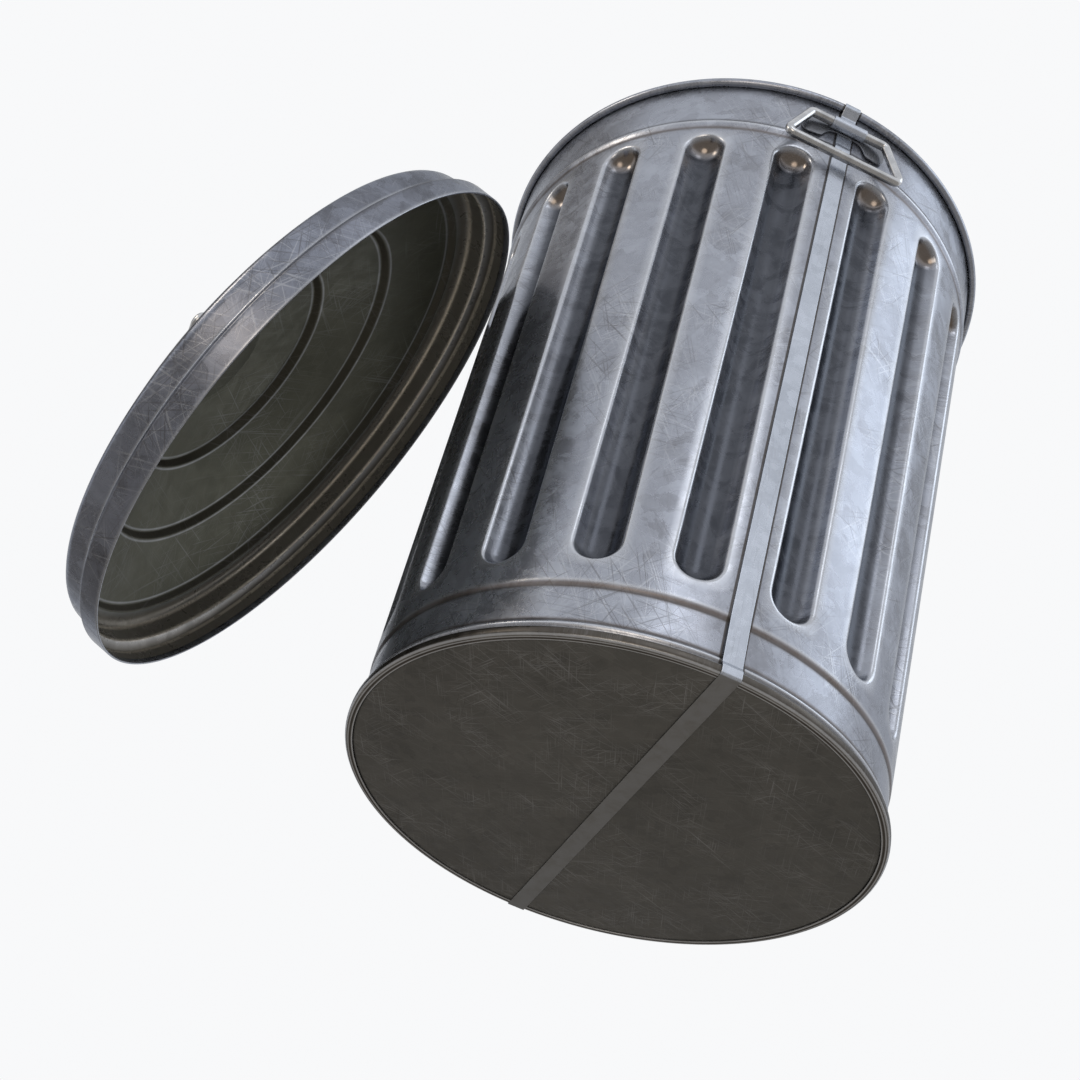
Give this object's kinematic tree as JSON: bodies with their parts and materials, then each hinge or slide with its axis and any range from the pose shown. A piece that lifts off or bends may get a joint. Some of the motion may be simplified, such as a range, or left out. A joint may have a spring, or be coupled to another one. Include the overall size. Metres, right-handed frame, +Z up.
{
  "type": "galvanized trash can with lid",
  "caption": "Round tapered galvanised-steel trash can with fluted walls, a rolled rim, side bail handles, and its domed lid leaning against it.",
  "frame": {"origin": "centre of the can's circular foot, on the floor under its strap", "axes": "+Z up along the can's axis; +X towards one side handle and its strap; the lid leans on the can's -Y side"},
  "size_m": [0.5352, 0.7433, 0.69],
  "materials": {
    "galvanised_wall": "galvanised, mottled and scratched",
    "galvanised_foot": "galvanised, dull and worn",
    "galvanised_strap": "galvanised, smooth",
    "galvanised_lid": "galvanised, dull and scratched",
    "bright_rod": "bright drawn steel"
  },
  "bodies": {
    "can": {"can_body": "galvanised_wall", "rim_wire": "bright_rod", "bottom_pan": "galvanised_foot", "foot_hoop": "galvanised_foot", "strap": "galvanised_strap", "ear_plate_front": "galvanised_strap", "ear_plate_back": "galvanised_strap"},
    "front_bail": {"bail_front": "bright_rod"},
    "back_bail": {"bail_back": "bright_rod"},
    "lid": {"lid_shell": "galvanised_lid", "lid_ear_plate": "galvanised_lid"},
    "lid_bail": {"lid_bail": "bright_rod"}
  },
  "joints": [
    {"name": "front_bail_hinge", "type": "hinge", "parent": "can", "child": "front_bail", "pos_m": [0.25775, 0, 0.651], "axis": [0, -1, 0], "range_deg": [-3, 160]},
    {"name": "back_bail_hinge", "type": "hinge", "parent": "can", "child": "back_bail", "pos_m": [-0.25775, 0, 0.651], "axis": [0, 1, 0], "range_deg": [-3, 160]},
    {"name": "lid_away", "type": "slide", "parent": "can", "child": "lid", "axis": [0, -1, 0], "range_m": [0, 0.4]},
    {"name": "lid_bail_hinge", "type": "hinge", "parent": "lid", "child": "lid_bail", "pos_m": [-0.01284, -0.45748, 0.29152], "axis": [-0.9803, -0.0413, -0.193], "range_deg": [0, 175]}
  ]
}
